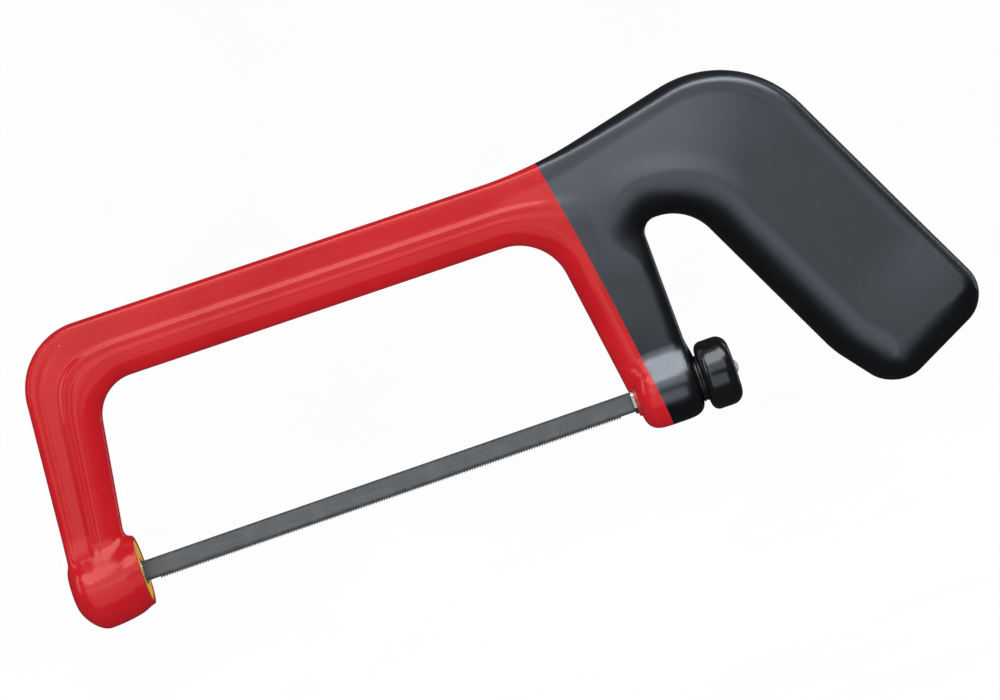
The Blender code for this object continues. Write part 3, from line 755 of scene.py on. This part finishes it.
class Nodes:
    """Short names for building a material's node tree."""

    inputs = {
        "colour": "Base Color",
        "roughness": "Roughness",
        "metallic": "Metallic",
        "specular": "Specular IOR Level",
        "tint": "Specular Tint",
        "glow": "Emission Color",
        "glow_strength": "Emission Strength",
    }

    def __init__(self, name):
        self.material = bpy.data.materials.new(name)
        self.material.use_nodes = True
        self.tree = self.material.node_tree
        self.shader = self.tree.nodes["Principled BSDF"]
        self.place = self.add("ShaderNodeTexCoord").outputs["Object"]

    def add(self, kind, **settings):
        node = self.tree.nodes.new(kind)
        for key, value in settings.items():
            setattr(node, key, value)
        return node

    def feed(self, socket, value):
        if isinstance(value, bpy.types.NodeSocket):
            self.tree.links.new(value, socket)
        elif isinstance(value, tuple) and len(value) == 3 and socket.type == "RGBA":
            socket.default_value = (*value, 1.0)
        else:
            socket.default_value = value

    def set(self, **values):
        """Settings of the shader, by the names in inputs."""
        for key, value in values.items():
            self.feed(self.shader.inputs[self.inputs[key]], value)

    def position(self, axis):
        """One coordinate of the place, in metres."""
        node = self.add("ShaderNodeSeparateXYZ")
        self.feed(node.inputs[0], self.place)
        return node.outputs[axis]

    def texture(self, kind, sizes):
        """Texture node whose unit along each axis has this size in metres."""
        mapping = self.add("ShaderNodeMapping")
        self.feed(mapping.inputs["Vector"], self.place)
        mapping.inputs["Scale"].default_value = [1 / size for size in sizes]
        node = self.add(kind)
        self.feed(node.inputs["Vector"], mapping.outputs[0])
        node.inputs["Scale"].default_value = 1.0
        return node

    def noise(self, size_mm, detail=3.0, stretch=(1, 1, 1), roughness=0.5):
        """Noise with features about this many millimetres across."""
        node = self.texture("ShaderNodeTexNoise", [size_mm * MM * part for part in stretch])
        node.inputs["Detail"].default_value = detail
        node.inputs["Roughness"].default_value = roughness
        return node.outputs[0]

    def specks(self, size_mm, share):
        """1 inside small scattered spots, 0 elsewhere. share is the spots' size against their cells'."""
        node = self.texture("ShaderNodeTexVoronoi", [size_mm * MM] * 3)
        near = self.ramp(node.outputs["Distance"], share, share * 0.6)
        chosen = self.ramp(self.noise(size_mm * 2.3, 0.0), 0.62, 0.68)
        return self.math("MULTIPLY", near, chosen)

    def ramp(self, value, low, high, to_low=0.0, to_high=1.0):
        node = self.add("ShaderNodeMapRange", clamp=True)
        self.feed(node.inputs["Value"], value)
        for name, number in (("From Min", low), ("From Max", high), ("To Min", to_low), ("To Max", to_high)):
            node.inputs[name].default_value = number
        return node.outputs[0]

    def math(self, operation, first, second):
        node = self.add("ShaderNodeMath", operation=operation)
        self.feed(node.inputs[0], first)
        self.feed(node.inputs[1], second)
        return node.outputs[0]

    def mix_colour(self, share, first, last):
        node = self.add("ShaderNodeMix", data_type="RGBA")
        self.feed(node.inputs[0], share)
        self.feed(node.inputs[6], first)
        self.feed(node.inputs[7], last)
        return node.outputs[2]

    def bump(self, *layers):
        """Bump from (height, depth in millimetres) layers."""
        normal = None
        for height, depth_mm in layers:
            node = self.add("ShaderNodeBump")
            node.inputs["Strength"].default_value = 1.0
            node.inputs["Distance"].default_value = depth_mm * MM
            self.feed(node.inputs["Height"], height)
            if normal is not None:
                self.feed(node.inputs["Normal"], normal)
            normal = node.outputs[0]
        self.feed(self.shader.inputs["Normal"], normal)


def red_coat_material():
    """Glossy red dipped plastic, softly uneven, with faint scuffs and a few pale nicks."""
    made = Nodes("red_dip_coat")
    cloud = made.noise(26, 2.0)
    base = made.mix_colour(made.ramp(cloud, 0.35, 0.65), (0.500, 0.0080, 0.0150), (0.560, 0.0120, 0.0190))
    scuffs = made.noise(5, 5.0, (5, 1, 0.6), 0.7)
    base = made.mix_colour(made.ramp(scuffs, 0.66, 0.80, 0, 0.25), base, (0.66, 0.05, 0.045))
    nicks = made.math("MULTIPLY", made.specks(5.5, 0.045), 0.7)
    base = made.mix_colour(nicks, base, (0.80, 0.30, 0.24))
    roughness = made.ramp(scuffs, 0.3, 0.8, 0.15, 0.24)
    made.set(colour=base, roughness=roughness, specular=0.3, tint=(1.0, 0.74, 0.60))
    made.bump((made.noise(3.6, 2.0), 0.032), (made.noise(0.7, 2.0), 0.0022))
    return made.material


def black_coat_material():
    """Black dipped plastic, a little duller on the grip and the upper rear arm than on the rear boss."""
    made = Nodes("black_grip_coat")
    cloud = made.noise(30, 3.0)
    base = made.mix_colour(made.ramp(cloud, 0.35, 0.65), (0.0022, 0.0025, 0.0033), (0.0034, 0.0038, 0.0048))
    scuffs = made.noise(4, 6.0, (1, 1, 4), 0.7)
    base = made.mix_colour(made.ramp(scuffs, 0.64, 0.80, 0, 0.5), base, (0.020, 0.022, 0.026))
    nicks = made.math("MULTIPLY", made.specks(6.0, 0.05), 0.3)
    base = made.mix_colour(nicks, base, (0.05, 0.05, 0.052))
    above_boss = made.ramp(made.position("Z"), 0.012, 0.028)
    behind_boss = made.ramp(made.position("X"), 0.097, 0.102)
    dulled = made.math("MULTIPLY", made.math("MAXIMUM", above_boss, behind_boss), 0.08)
    roughness = made.math("ADD", made.ramp(scuffs, 0.3, 0.8, 0.26, 0.32), dulled)
    made.set(colour=base, roughness=roughness, specular=0.98, tint=(0.80, 0.88, 1.0))
    made.bump((made.noise(2.6, 3.0), 0.020), (made.noise(0.6, 3.0), 0.002))
    return made.material


def undercoat_material():
    """Rough yellow plastic with brown stains."""
    made = Nodes("yellow_undercoat")
    cloud = made.noise(2.5, 4.0)
    base = made.mix_colour(made.ramp(cloud, 0.35, 0.7), (0.78, 0.44, 0.008), (0.98, 0.62, 0.014))
    stains = made.ramp(made.noise(0.9, 5.0), 0.6, 0.75, 0, 0.45)
    base = made.mix_colour(stains, base, (0.42, 0.20, 0.01))
    made.set(colour=base, roughness=0.48)
    made.bump((made.noise(1.2, 4.0), 0.05))
    return made.material


def blade_material():
    """Dark steel with fine grain along its length, and painted shade darkening its top edge and its teeth.
    """
    made = Nodes("blade_steel")
    grain = made.noise(1.4, 5.0, (14, 1, 0.35), 0.65)
    cloud = made.noise(9, 3.0)
    base = made.mix_colour(made.ramp(grain, 0.3, 0.7), (0.058, 0.064, 0.072), (0.096, 0.104, 0.112))
    base = made.mix_colour(made.ramp(cloud, 0.45, 0.75, 0, 0.4), base, (0.130, 0.136, 0.142))
    worn = made.ramp(made.noise(0.8, 5.0), 0.60, 0.78, 0, 0.7)
    base = made.mix_colour(worn, base, (0.045, 0.050, 0.058))
    # Painted shade: a dark band with a ragged border along the top edge and along the teeth stands in for
    # the shade on these edges
    height = made.position("Z")
    ragged = made.math("MULTIPLY", made.ramp(made.noise(1.1, 4.0), 0.3, 0.7), 0.0005)
    top_edge_shade = made.ramp(made.math("ADD", height, ragged), 0.0024, 0.0030)
    teeth_shade = made.ramp(made.math("SUBTRACT", height, ragged), -0.0021, -0.0029)
    base = made.mix_colour(made.math("MAXIMUM", top_edge_shade, teeth_shade), base, (0.022, 0.024, 0.027))
    made.set(colour=base, roughness=made.ramp(grain, 0.3, 0.7, 0.40, 0.58), metallic=0.35)
    made.bump((grain, 0.010), (made.noise(0.5, 3.0), 0.006))
    return made.material


def steel_material(name, colour, roughness=0.3):
    """Bare metal with fine grain and brownish tarnish."""
    made = Nodes(name)
    grain = made.noise(0.9, 5.0, (1, 1, 1), 0.6)
    darker = tuple(0.72 * part for part in colour)
    base = made.mix_colour(made.ramp(grain, 0.35, 0.7), colour, darker)
    tarnish = made.ramp(made.noise(2.6, 4.0), 0.58, 0.74, 0, 0.5)
    base = made.mix_colour(tarnish, base, (0.30, 0.26, 0.21))
    uneven = made.ramp(grain, 0.3, 0.7, roughness - 0.08, roughness + 0.12)
    made.set(colour=base, roughness=uneven, metallic=1.0)
    made.bump((made.noise(0.3, 3.0, (6, 1, 1)), 0.006))
    return made.material


def knob_material():
    """Glossy black plastic with scuffs and pale specks."""
    made = Nodes("knob_black")
    scuffs = made.noise(2.2, 6.0, (1, 3, 3), 0.7)
    scuffed = made.ramp(scuffs, 0.62, 0.8, 0, 0.4)
    base = made.mix_colour(scuffed, (0.0075, 0.0075, 0.0085), (0.030, 0.031, 0.033))
    nicks = made.math("MULTIPLY", made.specks(3.0, 0.06), 0.5)
    base = made.mix_colour(nicks, base, (0.12, 0.12, 0.12))
    roughness = made.ramp(scuffs, 0.3, 0.8, 0.17, 0.26)
    made.set(colour=base, roughness=roughness, specular=0.52, tint=(0.86, 0.93, 1.0))
    made.bump((made.noise(2.5, 2.0), 0.014))
    return made.material


def plastic_material(name, colour, roughness=0.45):
    """Plain plastic with faint grain."""
    made = Nodes(name)
    lighter = tuple(min(1.0, 1.25 * part + 0.01) for part in colour)
    grain = made.noise(1.5, 4.0)
    base = made.mix_colour(made.ramp(grain, 0.3, 0.7), colour, lighter)
    uneven = made.ramp(grain, 0.3, 0.7, roughness - 0.06, roughness + 0.08)
    made.set(colour=base, roughness=uneven)
    made.bump((made.noise(0.6, 3.0), 0.010))
    return made.material


def floor_material():
    """Glows evenly, so that the lights leave no pattern on it."""
    made = Nodes("pale_floor")
    tone = made.mix_colour(made.noise(180, 2.0), (0.975, 0.975, 0.975), (1.0, 1.0, 1.0))
    made.set(colour=(0.02, 0.02, 0.02), roughness=0.9, specular=0.0, glow=tone, glow_strength=0.98)
    return made.material


# ---------------------------------------------------------------- placing


def piece(made, look, body, slot, *nodes):
    """Give a visual piece its material and its body, and hide the CAD nodes that it stands for."""
    made.data.materials.append(look)
    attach(made, body)
    if nodes:
        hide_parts(*nodes)


def coated_bow():
    red, black = coat_pieces()
    piece(red, red_coat_material(), "frame", "outer_coat_red", "outer_coat_red")
    piece(black, black_coat_material(), "frame", "grip_coat_black", "grip_coat_black")
    yellow = undercoat_material()
    piece(undercoat_piece(), yellow, "frame", "undercoat_yellow", "undercoat_yellow")
    piece(bush_ring_piece(), yellow, "frame", "undercoat_yellow")


def fittings():
    red = plastic_material("collar_red", (0.42, 0.014, 0.016), 0.35)
    black = plastic_material("neck_black", (0.010, 0.010, 0.011), 0.32)
    grey = plastic_material("plug_grey", (0.50, 0.51, 0.52), 0.35)
    piece(bush_piece(), red, "frame", "guide_bush", "guide_bush")
    piece(washer_piece(), black, "frame", "thrust_washer", "thrust_washer")
    piece(knob_piece(), knob_material(), "knob", "knob_body", "knob_body")
    piece(plug_piece(), grey, "knob", "knob_plug", "knob_plug")
    piece(blade_piece(), blade_material(), "tension_bolt", "blade", "blade")


def dress_nodes():
    """Materials for the CAD nodes that stay as they are."""
    silver = (0.66, 0.66, 0.63)
    looks = {
        "front_stud": steel_material("stud_steel", silver),
        "tension_bolt": steel_material("bolt_steel", silver),
        "front_stud_pin": steel_material("pin_steel", silver),
        "frame_core": steel_material("core_steel", (0.36, 0.36, 0.37), 0.45),
        "knob_nut": steel_material("nut_brass", (0.62, 0.44, 0.17)),
    }
    for place in ("top", "middle", "bottom"):
        looks[f"handle_rivet_{place}"] = steel_material(f"rivet_{place}_steel", silver)
    for side in ("left", "right"):
        looks[f"handle_filler_{side}"] = plastic_material(f"filler_{side}", (0.05, 0.05, 0.055), 0.6)
    for node, look in looks.items():
        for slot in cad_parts[node].material_slots:
            slot.material = look


# ---------------------------------------------------------------- stage, light and camera


def camera():
    data = bpy.data.cameras.new("camera")
    data.lens = LENS
    data.sensor_width = SENSOR
    data.clip_start = 0.01
    made = link("camera", data)
    distance = LENS / SENSOR * VIEW_WIDTH * MM
    turn = Matrix((RIGHT, UP, TOWARDS)).transposed().to_4x4()
    made.matrix_world = Matrix.Translation(VIEW_CENTRE + TOWARDS * distance) @ turn
    bpy.context.scene.camera = made


def softbox(name, direction, distance, width, height, watts):
    """Area light that faces the saw from a direction given as right, up and towards the camera."""
    data = bpy.data.lights.new(name, "AREA")
    data.shape = "RECTANGLE"
    data.size = width
    data.size_y = height
    data.energy = watts
    made = link(name, data)
    away = (RIGHT * direction[0] + UP * direction[1] + TOWARDS * direction[2]).normalized()
    made.location = VIEW_CENTRE + away * distance
    made.rotation_mode = "QUATERNION"
    made.rotation_quaternion = away.to_track_quat("Z", "Y")
    return made


def floor_mesh():
    """Round floor that sweeps up into a wall."""
    floor_z = CAD_BOX[0].z - FLOOR_DROP
    profile = [(FLOOR_FLAT / 2, 0.0), (FLOOR_FLAT, 0.0)]
    for a in np.linspace(0.15, math.pi / 2, 9):
        profile.append((FLOOR_FLAT + FLOOR_BEND * math.sin(a), FLOOR_BEND * (1 - math.cos(a))))
    profile.append((FLOOR_FLAT + FLOOR_BEND, WALL_TOP))
    turns = np.linspace(0, 2 * math.pi, FLOOR_SIDES, endpoint=False)
    shape = bmesh.new()
    middle = shape.verts.new((0, 0, floor_z))
    loops = [
        [shape.verts.new((radius * math.cos(a), radius * math.sin(a), floor_z + height)) for a in turns]
        for radius, height in profile
    ]
    for i in range(FLOOR_SIDES):
        after = (i + 1) % FLOOR_SIDES
        shape.faces.new((middle, loops[0][i], loops[0][after]))
        for near, far in zip(loops, loops[1:]):
            shape.faces.new((near[i], far[i], far[after], near[after]))
    made = mesh_from(shape, "floor")
    made.shade_smooth()
    return made


def stage():
    """Pale floor and wall, far enough away to stay plain."""
    made = link("floor", floor_mesh())
    made.data.materials.append(floor_material())
    made.visible_glossy = False
    made.visible_diffuse = False


def studio_world():
    """Even white surroundings, which reflections see as nearly dark."""
    world = bpy.data.worlds.new("studio")
    world.use_nodes = True
    tree = world.node_tree
    background = tree.nodes["Background"]
    background.inputs["Color"].default_value = (1.0, 1.0, 1.0, 1.0)
    paths = tree.nodes.new("ShaderNodeLightPath")
    level = tree.nodes.new("ShaderNodeMapRange")
    level.inputs["To Min"].default_value = 0.66
    level.inputs["To Max"].default_value = 0.04
    tree.links.new(paths.outputs["Is Glossy Ray"], level.inputs["Value"])
    tree.links.new(level.outputs[0], background.inputs["Strength"])
    bpy.context.scene.world = world


def lights():
    for settings in REFLECTIONS:
        softbox(*settings).visible_diffuse = False
    for settings in FILLS:
        softbox(*settings).visible_glossy = False


coated_bow()
fittings()
dress_nodes()
stage()
studio_world()
lights()
camera()
bpy.context.scene.view_settings.view_transform = "Standard"
bpy.context.scene.view_settings.look = "None"
